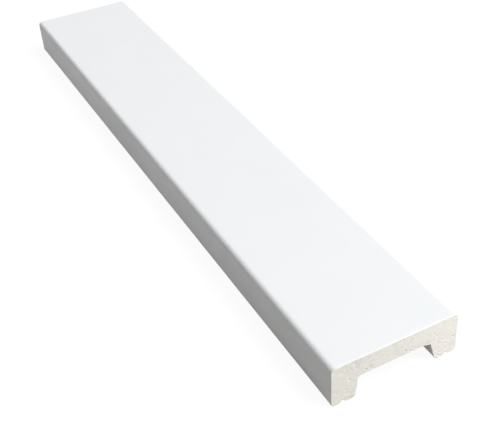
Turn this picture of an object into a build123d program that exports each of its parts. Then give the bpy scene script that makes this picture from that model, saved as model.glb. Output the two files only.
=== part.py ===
# Skirting board: one straight length of hard plastic foam with a white room side.
# It lies on its two feet, with the room side up and the cable channel underneath.
# Millimetres. X runs along the length, Y from the lower long edge to the upper one,
# and Z out of the room side. The origin is at the middle of the length and of the
# width, in the plane that both feet stand on.

import os
from math import radians, tan

from build123d import *

# The board
length = 600.0  # cut square at both ends
board_height = 100.0  # from the lower long edge to the upper one, across Y
thickness = 34.0  # from the wall to the room side
arris_radius = 4.0  # long edges of the room side

# Cable channel between the feet
web = 15.8  # material between the room side and the channel's ceiling
foot_width = 17.6  # from a long edge to the channel, at the wall
side_lean = 9.0  # degrees that the channel's sides lean, to widen the channel at the wall
ceiling_radius = 3.0  # between the channel's ceiling and its sides

# Foot of the section, from the long edge inwards: heel, land, adhesive groove and bead
heel_radius = 3.0  # outer corner of the land
land_width = 5.8  # flat strip that meets the wall beside the long edge
land_radius = 1.0  # where the land turns up into the groove
ramp_width = 3.4  # slope from the land up to the groove's deepest part
groove_depth = 2.5
groove_radius = 0.4  # both corners in the depth of the groove
bead_width = 7.0  # from the groove to the channel's side, at the wall
bead_lean = 15.0  # degrees that the bead's side leans, to narrow the groove upwards
bead_groove_radius = 2.6  # the bead's corner towards the groove
bead_channel_radius = 2.8  # the bead's corner towards the channel


def half_outline():
    """Corners of the upper half of the section and the radius of each, as (Y, Z).

    They run from the channel's ceiling round the foot to the room side.
    """
    edge = board_height / 2
    ceiling = thickness - web
    channel_side = edge - foot_width
    bead_side = channel_side + bead_width
    ramp_foot = edge - land_width
    ramp_top = ramp_foot - ramp_width
    lean = ceiling * tan(radians(side_lean))
    bead_top = bead_side + groove_depth * tan(radians(bead_lean))
    return [
        ((channel_side - lean, ceiling), ceiling_radius),
        ((channel_side, 0), bead_channel_radius),
        ((bead_side, 0), bead_groove_radius),
        ((bead_top, groove_depth), groove_radius),
        ((ramp_top, groove_depth), groove_radius),
        ((ramp_foot, 0), land_radius),
        ((edge, 0), heel_radius),
        ((edge, thickness), arris_radius),
    ]


corners = half_outline()
ceiling_middle = (0, thickness - web)
room_side_middle = (0, thickness)

with BuildPart() as skirting_board:
    with BuildSketch(Plane.YZ.offset(-length / 2)) as section:
        with BuildLine():
            FilletPolyline(
                ceiling_middle,
                *[place for place, radius in corners],
                room_side_middle,
                radius=[radius for place, radius in corners],
            )
            Line(room_side_middle, ceiling_middle)
        make_face()
        mirror(about=Plane.YZ)
    extrude(amount=length)

skirting_board.part.label = "skirting_board"

os.makedirs("parts", exist_ok=True)
export_step(skirting_board.part, "parts/skirting_board.step")
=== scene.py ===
# Dresses the skirting board for a plain studio picture: a satin white skin, bare foam
# towards the wall, and sawn ends with torn cells and pits. Metres, in the part's frame:
# X along the length, Y from the lower long edge to the upper one, Z out of the room side.

import math

import bmesh
import bpy
import numpy as np
from mathutils import Matrix, Vector, noise
from mathutils.geometry import delaunay_2d_cdt


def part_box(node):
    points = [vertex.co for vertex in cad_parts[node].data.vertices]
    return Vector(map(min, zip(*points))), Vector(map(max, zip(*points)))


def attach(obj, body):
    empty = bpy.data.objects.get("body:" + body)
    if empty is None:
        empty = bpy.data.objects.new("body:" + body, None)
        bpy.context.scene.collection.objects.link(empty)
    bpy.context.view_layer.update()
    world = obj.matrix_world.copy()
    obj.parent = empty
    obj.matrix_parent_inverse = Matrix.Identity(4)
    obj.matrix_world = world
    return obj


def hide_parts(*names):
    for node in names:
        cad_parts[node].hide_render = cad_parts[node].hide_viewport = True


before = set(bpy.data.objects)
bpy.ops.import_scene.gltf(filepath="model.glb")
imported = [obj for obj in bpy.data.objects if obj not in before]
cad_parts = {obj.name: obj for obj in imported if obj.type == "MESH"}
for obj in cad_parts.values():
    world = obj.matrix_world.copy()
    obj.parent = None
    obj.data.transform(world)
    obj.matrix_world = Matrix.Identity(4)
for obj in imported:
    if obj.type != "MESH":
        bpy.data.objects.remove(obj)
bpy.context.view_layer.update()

MM = 0.001
NODE = "skirting_board"
HIGHEST_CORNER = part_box(NODE)[1]

# Section, as on the solid
HALF_LENGTH = HIGHEST_CORNER.x
EDGE = HIGHEST_CORNER.y
THICKNESS = HIGHEST_CORNER.z
WEB = 15.8 * MM
FOOT_WIDTH = 17.6 * MM
SIDE_LEAN = math.radians(9.0)
ARRIS_RADIUS = 4.0 * MM
CEILING_RADIUS = 3.0 * MM
HEEL_RADIUS = 3.0 * MM
LAND_WIDTH = 5.8 * MM
LAND_RADIUS = 1.0 * MM
RAMP_WIDTH = 3.4 * MM
GROOVE_DEPTH = 2.5 * MM
GROOVE_RADIUS = 0.4 * MM
BEAD_WIDTH = 7.0 * MM
BEAD_LEAN = math.radians(15.0)
BEAD_GROOVE_RADIUS = 2.6 * MM
BEAD_CHANNEL_RADIUS = 2.8 * MM
CEILING = THICKNESS - WEB

# Mesh spacing
ARC_STEP = math.radians(9)
FLAT_STEP = 1.6 * MM
LENGTH_STEP = 6.0 * MM
END_GRID = 0.44 * MM
END_GRID_ROW = END_GRID * math.sqrt(0.75)  # rows of even triangles
END_GRID_MARGIN = 0.3 * MM
END_GRID_JITTER = 0.45  # share of the grid's step that its points may be moved by
INSIDE_ONLY = 1  # the way of joining the grid that leaves out what lies outside the rim
NEARNESS = 1e-7  # two points this close count as one

# Skin
HEEL_FADE = 0.6 * MM  # each side of the heel's inner end, where the white skin stops
ROOM_SIDE_FADE = (1.0 * MM, 4.0 * MM)  # heights above the channel's ceiling
WAVE_DEPTH = 0.035 * MM  # slow waves left in the skin by the moulding line
WAVE_LENGTH = 85 * MM
WAVES_ACROSS = 3  # how many times shorter they are across the board

# Worn edge of the skin at the sawn ends
RIM_ROOM = 4.0 * MM  # length that the rings at each end may take
EASE_LENGTH = 1.0 * MM  # how far from each sawn end the skin starts to turn in
EASE_INSET = 0.36 * MM  # how far it has turned in at the end
EASE_STEPS = 4
BARE_EASE = 0.2  # share of that inset on the bare wall side
EASE_RAGGED = 0.55  # how much the inset and its length vary along the edge
RAGGED_WIDTH = 5.0 * MM
WEAR_WIDTH = 45.0 * MM  # longer stretches where handling wore that edge more, or less
WEAR_RANGE = (0.5, 1.35)
WEAR_USUAL = 0.72

# Lip that the saw left along the channel's sides, where it came out
BURR_LENGTH = 1.3 * MM
BURR_WIDTH = 1.8 * MM  # on the upper side, in the corner under the ceiling
BURR_CEILING = 5.5 * MM  # how far it runs along the ceiling from there
LOWER_BURR = 0.8 * MM  # width on the lower side
LOWER_BURR_FADE = (1.0 * MM, 6.0 * MM)  # depths under the ceiling over which it grows
LOWER_BURR_BEAD = 1.5 * MM  # height over which it fades round the bead
BURR_MARGIN = 0.1 * MM  # how far past the channel's edges a point still counts as in it
BURR_RAGGED = 0.3  # share of the edge's raggedness that the lip has
BURR_FULL = 0.6  # share of the turn to the end at which the lip is at its full width

# Sawn ends
SWIRL_WIDTH = 10.0 * MM  # eddies in the foam's flow, which the saw laid open
SWIRL_REACH = 5.0 * MM
FLOW_ANGLE = math.radians(22)
RIDGE_DEPTH = 0.24 * MM  # torn ridges along the flow
RIDGE_WIDTH = 2.0 * MM
RIDGE_STRETCH = 3.4
STREAK_WIDTH = RIDGE_WIDTH * 1.3  # streaks of colour along them
CALM_WIDTH = 17.0 * MM  # smoother stretches between the torn ones
CALM_SHARE = 0.75
CALM_RANGE = (-0.1, 0.4)  # values of the noise between which they set in
CELL_DEPTH = 0.04 * MM
CELL_WIDTH = 0.9 * MM
PIT_COUNT = 40
PIT_RADIUS = (0.3 * MM, 0.75 * MM)
PIT_SIZE_POWER = 2.2  # most pits are near the smaller radius
PIT_STRETCH = 0.8  # how much wider than high a pit may be
PIT_DEPTH_SHARE = 0.5
RELIEF_RANGE = 0.45 * MM  # depth that the relief attribute calls 0

# Fractal noise, and a place in it for each pattern, so that no two are alike
NOISE_ROUGHNESS = 0.8
NOISE_LACUNARITY = 2.1
WEAR_SEED = 59.0
RAGGED_SEED = 5.0
RAGGED_LENGTH_SEED = 8.0
END_SEEDS = (20.0, 70.0)  # one for each sawn end, and the rest of these are added to it
DRIFT_SEEDS = (0, 4)
RIDGE_SEED = 9
CELL_SEED = 20
STREAK_SEED = 31
CALM_SEED = 40
PIT_DRAWS = (7, 8)  # one for each sawn end
GRID_DRAW = 3


def corner_list():
    """The closed section as ((Y, Z), radius), from the channel's ceiling round to it again."""
    channel_side = EDGE - FOOT_WIDTH
    bead_side = channel_side + BEAD_WIDTH
    ramp_foot = EDGE - LAND_WIDTH
    upper = [
        ((channel_side - CEILING * math.tan(SIDE_LEAN), CEILING), CEILING_RADIUS),
        ((channel_side, 0.0), BEAD_CHANNEL_RADIUS),
        ((bead_side, 0.0), BEAD_GROOVE_RADIUS),
        ((bead_side + GROOVE_DEPTH * math.tan(BEAD_LEAN), GROOVE_DEPTH), GROOVE_RADIUS),
        ((ramp_foot - RAMP_WIDTH, GROOVE_DEPTH), GROOVE_RADIUS),
        ((ramp_foot, 0.0), LAND_RADIUS),
        ((EDGE, 0.0), HEEL_RADIUS),
        ((EDGE, THICKNESS), ARRIS_RADIUS),
    ]
    lower = [((-y, z), radius) for (y, z), radius in reversed(upper)]
    return upper + lower


def corner_arc(before, corner, after, radius):
    """Points along the arc that rounds one corner, ends included."""
    into = (before - corner).normalized()
    out = (after - corner).normalized()
    half = into.angle(out) / 2
    tangent = radius / math.tan(half)
    centre = corner + (into + out).normalized() * radius / math.sin(half)
    start = corner + into * tangent - centre
    turn = (corner + out * tangent - centre).angle_signed(start)
    count = max(2, math.ceil(abs(turn) / ARC_STEP))
    return [centre + Matrix.Rotation(turn * k / count, 2) @ start for k in range(count + 1)]


def section_outline():
    """Closed outline of the section as an array of (Y, Z), with flats in short steps."""
    corners = [(Vector(place), radius) for place, radius in corner_list()]
    points = []
    for k, (corner, radius) in enumerate(corners):
        before = corners[k - 1][0]
        after = corners[(k + 1) % len(corners)][0]
        arc = corner_arc(before, corner, after, radius)
        if points:
            points += flat_between(points[-1], arc[0])
        points += arc
    points += flat_between(points[-1], points[0])
    return np.array(points)


def flat_between(start, end):
    """Points strictly between two others, evenly spaced."""
    count = math.ceil((end - start).length / FLAT_STEP)
    return [start.lerp(end, k / count) for k in range(1, count)]


def inward_normals(outline):
    """Unit normals of a closed outline, into the material."""
    along = np.roll(outline, -1, axis=0) - np.roll(outline, 1, axis=0)
    along /= np.linalg.norm(along, axis=1)[:, None]
    normals = np.stack([-along[:, 1], along[:, 0]], axis=1)
    across, height = outline.T
    area = np.sum(across * np.roll(height, -1) - np.roll(across, -1) * height)
    return normals * np.sign(area)


def ramp(value, low, high):
    """0 below low, 1 above high, smooth between."""
    t = np.clip((value - low) / (high - low), 0.0, 1.0)
    return t * t * (3 - 2 * t)


def skin_share(outline):
    """1 where the white skin covers the outline, 0 on the bare wall side."""
    across, height = outline.T
    inner = EDGE - HEEL_RADIUS
    outside = ramp(np.abs(across), inner - HEEL_FADE, inner + HEEL_FADE)
    room_side = ramp(height, CEILING + ROOM_SIDE_FADE[0], CEILING + ROOM_SIDE_FADE[1])
    return np.maximum(outside, room_side)


def burr_width(outline):
    """How far the saw's burr stands out into the channel along the outline."""
    side = EDGE - FOOT_WIDTH
    corner = side - CEILING * math.tan(SIDE_LEAN) - CEILING_RADIUS
    across, height = outline.T
    in_channel = (np.abs(across) < side + BURR_MARGIN) & (height < CEILING + BURR_MARGIN)
    # Widest in the upper corner, fading along the ceiling and down the side.
    upper = np.clip((across - corner + BURR_CEILING) / BURR_CEILING, 0, 1)
    upper *= np.clip(height / (CEILING - CEILING_RADIUS), 0, 1)
    # Even along the lower side, fading at the ceiling and round the bead.
    lower = ramp(CEILING - height, *LOWER_BURR_FADE) * np.clip(height / LOWER_BURR_BEAD, 0, 1)
    return (BURR_WIDTH * upper + LOWER_BURR * lower * (across < 0)) * in_channel


def field(points, scale, seed, octaves=2):
    """Smooth noise of about -1 to 1 at each (Y, Z), with features of about scale metres."""
    places = [Vector((across / scale, height / scale, seed)) for across, height in points]
    values = [noise.fractal(place, NOISE_ROUGHNESS, NOISE_LACUNARITY, octaves) for place in places]
    return np.array(values)


def flow(points, seed):
    """The (Y, Z) places carried along the foam's eddies and stretched along its flow."""
    drift = [field(points, SWIRL_WIDTH, seed + k) * SWIRL_REACH for k in DRIFT_SEEDS]
    moved = points + np.stack(drift, axis=1)
    along = moved[:, 0] * math.cos(FLOW_ANGLE) + moved[:, 1] * math.sin(FLOW_ANGLE)
    across = moved[:, 1] * math.cos(FLOW_ANGLE) - moved[:, 0] * math.sin(FLOW_ANGLE)
    return np.stack([along / RIDGE_STRETCH, across], axis=1)


def pit_depths(points, draw):
    """Depth of the burst cells that the saw opened, at each (Y, Z)."""
    depth = np.zeros(len(points))
    centres = points[draw.choice(len(points), PIT_COUNT, replace=False)]
    smallest, largest = PIT_RADIUS
    radii = smallest + (largest - smallest) * draw.random(PIT_COUNT) ** PIT_SIZE_POWER
    stretch = 1 + PIT_STRETCH * draw.random(PIT_COUNT)
    for centre, radius, wide in zip(centres, radii, stretch):
        away = (points - centre) / (radius * wide, radius)
        far = np.minimum((away ** 2).sum(axis=1), 1.0)
        depth = np.maximum(depth, radius * PIT_DEPTH_SHARE * np.sqrt(1 - far))
    return depth


def sawn_surface(points, side):
    """Depth of a sawn end under its flat, and the tone of its streaks, at each (Y, Z)."""
    seed = END_SEEDS[side]
    draw = np.random.default_rng(PIT_DRAWS[side])
    carried = flow(points, seed)
    torn = 1 - CALM_SHARE * ramp(field(points, CALM_WIDTH, seed + CALM_SEED), *CALM_RANGE)
    ridges = np.abs(field(carried, RIDGE_WIDTH, seed + RIDGE_SEED)) * torn * RIDGE_DEPTH
    cells = np.abs(field(points, CELL_WIDTH, seed + CELL_SEED)) * CELL_DEPTH
    tone = field(carried, STREAK_WIDTH, seed + STREAK_SEED, octaves=3) * torn
    return ridges + cells + pit_depths(points, draw), tone


def end_rings(outline, normals, share):
    """Rings that lead to a sawn end, as (each point's distance from the end, outline).

    They round the skin over the end, and carry the saw's burr out into the channel.
    """
    worn = np.clip(WEAR_USUAL + field(outline, WEAR_WIDTH, WEAR_SEED), *WEAR_RANGE)
    ragged = 1 + EASE_RAGGED * field(outline, RAGGED_WIDTH, RAGGED_SEED)
    reach = EASE_INSET * worn * (BARE_EASE + (1 - BARE_EASE) * share) * ragged
    burr = burr_width(outline) * (1 + BURR_RAGGED * (ragged - 1))
    ragged_length = 1 + EASE_RAGGED * field(outline, RAGGED_WIDTH, RAGGED_LENGTH_SEED)
    length = EASE_LENGTH * worn * ragged_length + BURR_LENGTH * burr / BURR_WIDTH
    rings = []
    for turned in np.linspace(0, 1, EASE_STEPS + 1):
        angle = math.pi / 2 * turned
        inset = reach * (1 - math.cos(angle)) - burr * ramp(turned, 0.0, BURR_FULL)
        rings.append((length * (1 - math.sin(angle)), outline + normals * inset[:, None]))
    return rings


def cap_grid(rim):
    """A rim filled with fine triangles: points, faces, and where each point comes from."""
    low = rim.min(axis=0)
    high = rim.max(axis=0)
    rows = np.arange(low[1], high[1], END_GRID_ROW)
    draw = np.random.default_rng(GRID_DRAW)
    inner = []
    for k, height in enumerate(rows):
        across = np.arange(low[0] + END_GRID / 2 * (k % 2), high[0], END_GRID)
        inner.append(np.stack([across, np.full(len(across), height)], axis=1))
    inner = np.concatenate(inner)
    inner += (draw.random(inner.shape) - 0.5) * END_GRID * END_GRID_JITTER
    inner = inner[inside_with_margin(inner, rim)]
    every = [Vector(place) for place in np.concatenate([rim, inner])]
    border = list(range(len(rim)))
    places, _, faces, origins, _, _ = delaunay_2d_cdt(every, [], [border], INSIDE_ONLY, NEARNESS)
    return np.array(places), faces, origins


def inside_with_margin(points, rim):
    """True for the points inside a closed rim and clear of it by the grid's margin."""
    inside = np.zeros(len(points), bool)
    near = np.full(len(points), np.inf)
    for a, b in zip(rim, np.roll(rim, -1, axis=0)):
        crosses = (a[1] > points[:, 1]) != (b[1] > points[:, 1])
        with np.errstate(divide="ignore", invalid="ignore"):
            reach = a[0] + (points[:, 1] - a[1]) * (b[0] - a[0]) / (b[1] - a[1])
        inside ^= crosses & (points[:, 0] < reach)
        along = b - a
        share = np.clip((points - a) @ along / (along @ along), 0, 1)
        near = np.minimum(near, np.linalg.norm(points - a - share[:, None] * along, axis=1))
    return inside & (near > END_GRID_MARGIN)


def skin_waves(outline, normals, x):
    """The outline at one place along the length, with the skin's slow waves pressed into it."""
    stretched = outline * WAVES_ACROSS / WAVE_LENGTH
    waves = [0.5 + 0.5 * noise.noise(Vector((x / WAVE_LENGTH, *place))) for place in stretched]
    return outline + normals * (np.array(waves) * WAVE_DEPTH)[:, None]


def board_mesh():
    """Vertices, faces, sawn-face flags and the attributes of the whole board."""
    outline = section_outline()
    normals = inward_normals(outline)
    share = skin_share(outline)
    rings = end_rings(outline, normals, share)
    count = len(outline)
    straight = HALF_LENGTH - RIM_ROOM
    middle = np.linspace(-straight, straight, math.ceil(2 * HALF_LENGTH / LENGTH_STEP))
    loops = [(-HALF_LENGTH + back, ring) for back, ring in reversed(rings)]
    loops += [(x, skin_waves(outline, normals, x)) for x in middle]
    loops += [(HALF_LENGTH - back, ring) for back, ring in rings]

    vertices = np.concatenate([np.insert(ring, 0, x, axis=1) for x, ring in loops])
    relief = np.ones(len(vertices))
    skin = np.tile(share, len(loops))
    tone = np.zeros(len(vertices))
    faces = []
    for k in range(len(loops) - 1):
        for j in range(count):
            a = k * count + j
            b = k * count + (j + 1) % count
            faces.append((a, b, b + count, a + count))
    sawn = [False] * len(faces)

    rim = rings[-1][1]
    places, triangles, origins = cap_grid(rim)
    for side, first in ((0, 0), (1, (len(loops) - 1) * count)):
        depth, streaks = sawn_surface(places, side)
        outward = 1 if side else -1
        # Rim points keep their place in the last ring; the rest are new vertices.
        index = np.zeros(len(places), int)
        new = []
        for k, origin in enumerate(origins):
            ring_point = min(origin, default=count)
            if ring_point < count:
                index[k] = first + ring_point
            else:
                index[k] = len(vertices) + len(new)
                new.append(k)
        x = outward * (HALF_LENGTH - depth[new])
        vertices = np.concatenate([vertices, np.insert(places[new], 0, x, axis=1)])
        relief = np.concatenate([relief, 1 - np.clip(depth[new] / RELIEF_RANGE, 0, 1)])
        skin = np.concatenate([skin, np.zeros(len(new))])
        tone = np.concatenate([tone, streaks[new]])
        faces += [tuple(int(index[k]) for k in triangle) for triangle in triangles]
        sawn += [True] * len(triangles)
    return vertices, faces, sawn, {"relief": relief, "skin": skin, "tone": tone}


def add_board(skin_material, sawn_material):
    """The board as one closed mesh, with its skin and its two sawn ends."""
    vertices, faces, sawn, attributes = board_mesh()
    mesh = bpy.data.meshes.new("board")
    mesh.from_pydata(vertices.tolist(), [], faces)
    mesh.materials.append(skin_material)
    mesh.materials.append(sawn_material)
    mesh.polygons.foreach_set("material_index", np.array(sawn, dtype=np.int32))
    mesh.polygons.foreach_set("use_smooth", np.ones(len(faces), dtype=bool))
    for name, values in attributes.items():
        layer = mesh.attributes.new(name, "FLOAT", "POINT")
        layer.data.foreach_set("value", values)
    mesh.update()
    turn_faces_outwards(mesh)
    board = bpy.data.objects.new("board", mesh)
    bpy.context.scene.collection.objects.link(board)
    return board


def turn_faces_outwards(mesh):
    """Makes every face of a closed mesh point out of it."""
    work = bmesh.new()
    work.from_mesh(mesh)
    bmesh.ops.recalc_face_normals(work, faces=work.faces)
    work.to_mesh(mesh)
    work.free()


class Nodes:
    """A short way to add and join the nodes of one material or world."""

    def __init__(self, owner, output="OutputMaterial"):
        owner.use_nodes = True
        self.owner = owner
        self.tree = owner.node_tree
        self.tree.nodes.clear()
        self.output = self.add(output)

    def add(self, kind, inputs=None, **settings):
        node = self.tree.nodes.new("ShaderNode" + kind)
        for key, value in settings.items():
            setattr(node, key, value)
        for key, value in (inputs or {}).items():
            if isinstance(value, bpy.types.NodeSocket):
                self.tree.links.new(value, node.inputs[key])
            else:
                node.inputs[key].default_value = value
        return node

    def place(self, stretch=(1, 1, 1)):
        """Object coordinates, stretched along each axis."""
        coordinates = self.add("TexCoord").outputs["Object"]
        return self.add("Mapping", {"Vector": coordinates, "Scale": stretch}).outputs["Vector"]

    def along(self):
        """Distance along X from the middle of the board, in metres."""
        return self.add("SeparateXYZ", {"Vector": self.place()}).outputs["X"]

    def noise(self, per_metre, detail=3.0, stretch=(1, 1, 1), swirl=0.0):
        inputs = {"Vector": self.place(stretch), "Scale": per_metre}
        inputs |= {"Detail": detail, "Distortion": swirl}
        return self.add("TexNoise", inputs).outputs["Fac"]

    def cells(self, per_metre):
        inputs = {"Vector": self.place(), "Scale": per_metre}
        return self.add("TexVoronoi", inputs).outputs["Distance"]

    def remap(self, value, low, high, to_low=0.0, to_high=1.0):
        inputs = {"Value": value, "From Min": low, "From Max": high}
        inputs |= {"To Min": to_low, "To Max": to_high}
        return self.add("MapRange", inputs).outputs["Result"]

    def roughen(self, value, per_metre, amount):
        """A value made uneven by fine noise of up to that amount either way."""
        uneven = self.remap(self.noise(per_metre), *NOISE_RANGE, -amount, amount)
        return self.math("ADD", value, uneven)

    def blend(self, factor, first, second):
        node = self.add("Mix", data_type="RGBA")
        for socket, value in (("Factor_Float", factor), ("A_Color", first), ("B_Color", second)):
            slot = next(s for s in node.inputs if s.identifier == socket)
            if isinstance(value, bpy.types.NodeSocket):
                self.tree.links.new(value, slot)
            else:
                slot.default_value = value
        return next(s for s in node.outputs if s.identifier == "Result_Color")

    def math(self, operation, *values):
        return self.add("Math", dict(enumerate(values)), operation=operation).outputs[0]

    def attribute(self, name):
        return self.add("Attribute", attribute_name=name).outputs["Fac"]

    def bump(self, height, strength, distance, normal=None):
        inputs = {"Height": height, "Strength": strength, "Distance": distance}
        if normal:
            inputs["Normal"] = normal
        return self.add("Bump", inputs).outputs["Normal"]

    def surface(self, socket):
        self.tree.links.new(socket, self.output.inputs["Surface"])


# Colours, as they render under plain light
WHITE = (0.875, 0.883, 0.888, 1)
WHITE_COOL = (0.862, 0.873, 0.882, 1)
BARE = (0.770, 0.750, 0.705, 1)
BARE_DARK = (0.685, 0.665, 0.615, 1)
CREAM = (0.872, 0.846, 0.790, 1)
CREAM_PINK = (0.878, 0.827, 0.785, 1)
CREAM_GREEN = (0.845, 0.840, 0.754, 1)
CREAM_PALE = (0.935, 0.925, 0.890, 1)
CREAM_DARK = (0.775, 0.742, 0.670, 1)
# painted shade, for the deeper places of the sawn ends
CREAM_PIT_SHADE = (0.69, 0.655, 0.585, 1)

# Values that a noise texture mostly keeps between, and those that make firmer borders
NOISE_RANGE = (0.3, 0.7)
FIRM_RANGE = (0.35, 0.65)

# Patterns of the skin and of the bare wall side, each scale in features per metre
MOTTLE_SCALE = 26
DRAWN_SCALE = 60  # fine lines along the length, left by the moulding line
DRAWN_STRETCH = (0.02, 8, 8)
DRAWN_STRENGTH = 0.12
DRAWN_HEIGHT = 0.05 * MM
DUST_AND_LIGHT_SCALE = 300
DUST_AND_LIGHT_REACH = 9.0 * MM  # paler bare wall side beside each end: partly saw dust, partly painted light where light reaches into the channel from the open end
DUST_AND_LIGHT_RAGGED = 2.0 * MM
BORDER_SCALE = 420  # where the skin stops at the heel
BORDER_RAGGED = 0.35
GLOSS_SCALE = 140
GLOSS_STRETCH = (0.25, 1, 1)
PEEL_SCALE = 950
PEEL_STRENGTH = 0.10
PEEL_HEIGHT = 0.02 * MM
SKIN_ROUGHNESS = (0.40, 0.52)
SKIN_IOR = 1.46
SKIN_SPECULAR = 0.4


def white_skin():
    """Satin white skin with a fine orange peel, thinning to bare foam on the wall side."""
    m = Nodes(bpy.data.materials.new("white_skin"))
    white = m.blend(m.remap(m.noise(MOTTLE_SCALE), *NOISE_RANGE), WHITE, WHITE_COOL)
    drawn = m.noise(DRAWN_SCALE, detail=4, stretch=DRAWN_STRETCH)
    bare = m.blend(m.remap(drawn, *FIRM_RANGE), BARE, BARE_DARK)
    # Painted light and dust: the bare wall side turns cream towards each sawn end. This is partly
    # saw dust and partly painted light falling into the channel from the open end
    from_middle = m.roughen(m.math("ABSOLUTE", m.along()), DUST_AND_LIGHT_SCALE, DUST_AND_LIGHT_RAGGED)
    dust_and_light = m.remap(from_middle, HALF_LENGTH - DUST_AND_LIGHT_REACH, HALF_LENGTH)
    bare = m.blend(dust_and_light, bare, CREAM)
    cover = m.remap(m.roughen(m.attribute("skin"), BORDER_SCALE, BORDER_RAGGED), *FIRM_RANGE)
    gloss = m.noise(GLOSS_SCALE, stretch=GLOSS_STRETCH)
    peel = m.bump(m.noise(PEEL_SCALE, detail=2), PEEL_STRENGTH, PEEL_HEIGHT)
    shader = m.add("BsdfPrincipled", {
        "Base Color": m.blend(cover, bare, white),
        "Roughness": m.remap(gloss, *NOISE_RANGE, *SKIN_ROUGHNESS),
        "Normal": m.bump(drawn, DRAWN_STRENGTH, DRAWN_HEIGHT, peel),
        "IOR": SKIN_IOR,
        "Specular IOR Level": SKIN_SPECULAR,
    })
    m.surface(shader.outputs["BSDF"])
    return m.owner


# Patterns of the sawn foam, each scale in features per metre
PINK_SCALE = 75
PINK_SWIRL = 1.5
PINK_RANGE = (0.42, 0.60)
GREEN_SCALE = 88
GREEN_STRETCH = (1, 1.3, 1.3)
GREEN_SWIRL = 2.0
GREEN_RANGE = (0.46, 0.62)
STREAK_SCALE = 700  # unevenness of the streaks' borders
STREAK_RAGGED = 0.1
STREAK_RANGE = (0.0, 0.8)
STREAK_SHARE = 0.85
FLECK_SCALE = 850  # pale flecks, longer upwards than across
FLECK_STRETCH = (1, 1.6, 0.8)
FLECK_RANGE = (0.60, 0.70)
FLECK_SHARE = 0.65
PIT_SHADE_RANGE = (0.15, 0.85)  # values of the relief attribute over which the painted shade in the deeper places sets in
PIT_SHADE_SHARE = 0.8
OPEN_CELL_SCALE = 2600
OPEN_CELL_STRENGTH = 0.25
GRAIN_SCALE = 1500
GRAIN_STRENGTH = 0.22
GRAIN_HEIGHT = 0.10 * MM
FOAM_ROUGHNESS = 0.93
FOAM_IOR = 1.4


def sawn_foam():
    """Cream foam that the saw tore open: streaks and patches of colour, fine cells and pits, with
    painted shade in its deeper places.
    """
    m = Nodes(bpy.data.materials.new("sawn_foam"))
    pink = m.noise(PINK_SCALE, swirl=PINK_SWIRL)
    colour = m.blend(m.remap(pink, *PINK_RANGE), CREAM, CREAM_PINK)
    green = m.noise(GREEN_SCALE, stretch=GREEN_STRETCH, swirl=GREEN_SWIRL)
    colour = m.blend(m.remap(green, *GREEN_RANGE), colour, CREAM_GREEN)
    streaks = m.roughen(m.attribute("tone"), STREAK_SCALE, STREAK_RAGGED)
    colour = m.blend(m.remap(streaks, *STREAK_RANGE, 0, STREAK_SHARE), colour, CREAM_DARK)
    flecks = m.noise(FLECK_SCALE, detail=1, stretch=FLECK_STRETCH)
    colour = m.blend(m.remap(flecks, *FLECK_RANGE, 0, FLECK_SHARE), colour, CREAM_PALE)
    # Painted shade: the deeper the sawn face lies, in pits and between torn ridges, the darker its
    # colour
    pit_shade = m.remap(m.attribute("relief"), *PIT_SHADE_RANGE, PIT_SHADE_SHARE, 0)
    colour = m.blend(pit_shade, colour, CREAM_PIT_SHADE)
    cells = m.bump(m.cells(OPEN_CELL_SCALE), OPEN_CELL_STRENGTH, GRAIN_HEIGHT)
    shader = m.add("BsdfPrincipled", {
        "Base Color": colour,
        "Roughness": FOAM_ROUGHNESS,
        "Normal": m.bump(m.noise(GRAIN_SCALE), GRAIN_STRENGTH, GRAIN_HEIGHT, cells),
        "IOR": FOAM_IOR,
    })
    m.surface(shader.outputs["BSDF"])
    return m.owner


# Floor
FLOOR_SIZE = 16.0
FLOOR_DROP = 0.02 * MM
FLOOR_GREY = (0.345, 0.340, 0.318, 1)
FLOOR_GREY_NEAR = (0.275, 0.264, 0.234, 1)  # beyond the near end
FLOOR_GREY_FADE = (-0.05, 0.55)  # places along X between which the grey changes
FLOOR_SHADOW = (0.11, 0.11, 0.11, 1)  # what the lamps add to the white, and shadows take away
FLOOR_WHITE = 0.925


def seen_directly(m):
    """1 for rays that show the background itself: from the camera, a mirror or glass."""
    path = m.add("LightPath").outputs
    mirrored = m.math("MAXIMUM", path["Is Glossy Ray"], path["Is Transmission Ray"])
    return m.math("MAXIMUM", path["Is Camera Ray"], mirrored)


def floor_material():
    """Pale floor that looks white and keeps a faint shadow, and lights the board as pale grey."""
    m = Nodes(bpy.data.materials.new("floor"))
    grey = m.blend(m.remap(m.along(), *FLOOR_GREY_FADE), FLOOR_GREY, FLOOR_GREY_NEAR)
    plain = m.add("BsdfDiffuse", {"Color": grey}).outputs["BSDF"]
    shadow = m.add("BsdfDiffuse", {"Color": FLOOR_SHADOW}).outputs["BSDF"]
    white = m.add("Emission", {"Strength": FLOOR_WHITE}).outputs["Emission"]
    shown = m.add("AddShader", {0: shadow, 1: white}).outputs[0]
    m.surface(m.add("MixShader", {0: seen_directly(m), 1: plain, 2: shown}).outputs[0])
    return m.owner


def add_floor():
    """The plain floor that the board lies on."""
    half = FLOOR_SIZE / 2
    mesh = bpy.data.meshes.new("floor")
    corners = [(-half, -half), (half, -half), (half, half), (-half, half)]
    mesh.from_pydata([(x, y, -FLOOR_DROP) for x, y in corners], [], [(0, 1, 2, 3)])
    mesh.materials.append(floor_material())
    floor = bpy.data.objects.new("floor", mesh)
    bpy.context.scene.collection.objects.link(floor)


# World and lamps
WORLD_LIGHT = {"Color": (0.985, 0.995, 1.0, 1), "Strength": 0.30}
WORLD_WHITE = {"Color": (1, 1, 1, 1), "Strength": 1.0}
KEY = {
    "place": (2.65, 2.8, 5.05),
    "target": (0.10, 0.0, 0.01),
    "size": 4.35,
    "watts": 386,
    "colour": (0.985, 0.995, 1.0),
}
SIDE = {
    "place": (0.62, 0.38, 0.07),
    "target": (0.3, 0.0, 0.01),
    "size": 0.12,
    "watts": 1.05,
    "colour": (0.96, 0.955, 0.985),
}


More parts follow.
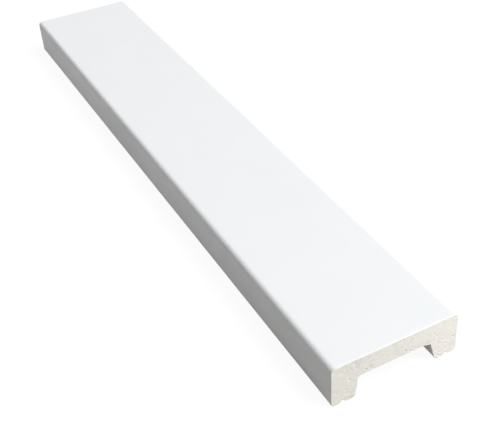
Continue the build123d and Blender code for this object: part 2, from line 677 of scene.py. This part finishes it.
def add_world():
    """Soft light all round, and a white background where it is seen directly."""
    w = Nodes(bpy.data.worlds.new("studio"), "OutputWorld")
    light = w.add("Background", WORLD_LIGHT).outputs[0]
    white = w.add("Background", WORLD_WHITE).outputs[0]
    w.surface(w.add("MixShader", {0: seen_directly(w), 1: light, 2: white}).outputs[0])
    bpy.context.scene.world = w.owner


def add_lamp(name, place, target, size, watts, colour):
    """A round soft lamp that the camera doesn't see."""
    lamp = bpy.data.lights.new(name, "AREA")
    lamp.shape = "DISK"
    lamp.size = size
    lamp.energy = watts
    lamp.color = colour
    thing = bpy.data.objects.new(name, lamp)
    thing.location = place
    direction = Vector(target) - Vector(place)
    thing.rotation_euler = direction.to_track_quat("-Z", "Y").to_euler()
    thing.visible_camera = False
    bpy.context.scene.collection.objects.link(thing)


def add_lamps():
    """A large soft key high beyond the near end, and a weak one low beside that end."""
    add_lamp("key", **KEY)
    add_lamp("side", **SIDE)


# Camera, fitted to the photograph's straight edges
CAMERA_PLACE = Vector((0.6388, -0.2572, 0.4587))
CAMERA_FORWARD = Vector((-0.7097, 0.3679, -0.6008))
CAMERA_RIGHT = Vector((0.4879, 0.8719, -0.0424))
LENS_MM = 66.9
SENSOR_MM = 36.0
SHIFT_X = -0.061
CLIP_START = 0.01
CLIP_END = 100.0


def add_camera():
    """The camera at the photograph's place and angle."""
    camera = bpy.data.cameras.new("camera")
    camera.lens = LENS_MM
    camera.sensor_width = SENSOR_MM
    camera.sensor_fit = "HORIZONTAL"
    camera.shift_x = SHIFT_X
    camera.clip_start = CLIP_START
    camera.clip_end = CLIP_END
    back = -CAMERA_FORWARD.normalized()
    up = back.cross(CAMERA_RIGHT).normalized()
    right = up.cross(back)
    turn = Matrix((right, up, back)).transposed().to_4x4()
    thing = bpy.data.objects.new("camera", camera)
    thing.matrix_world = Matrix.Translation(CAMERA_PLACE) @ turn
    bpy.context.scene.collection.objects.link(thing)
    bpy.context.scene.camera = thing


board = add_board(white_skin(), sawn_foam())
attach(board, "root")
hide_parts(NODE)

add_floor()
add_world()
add_lamps()
add_camera()
bpy.context.scene.view_settings.view_transform = "Standard"
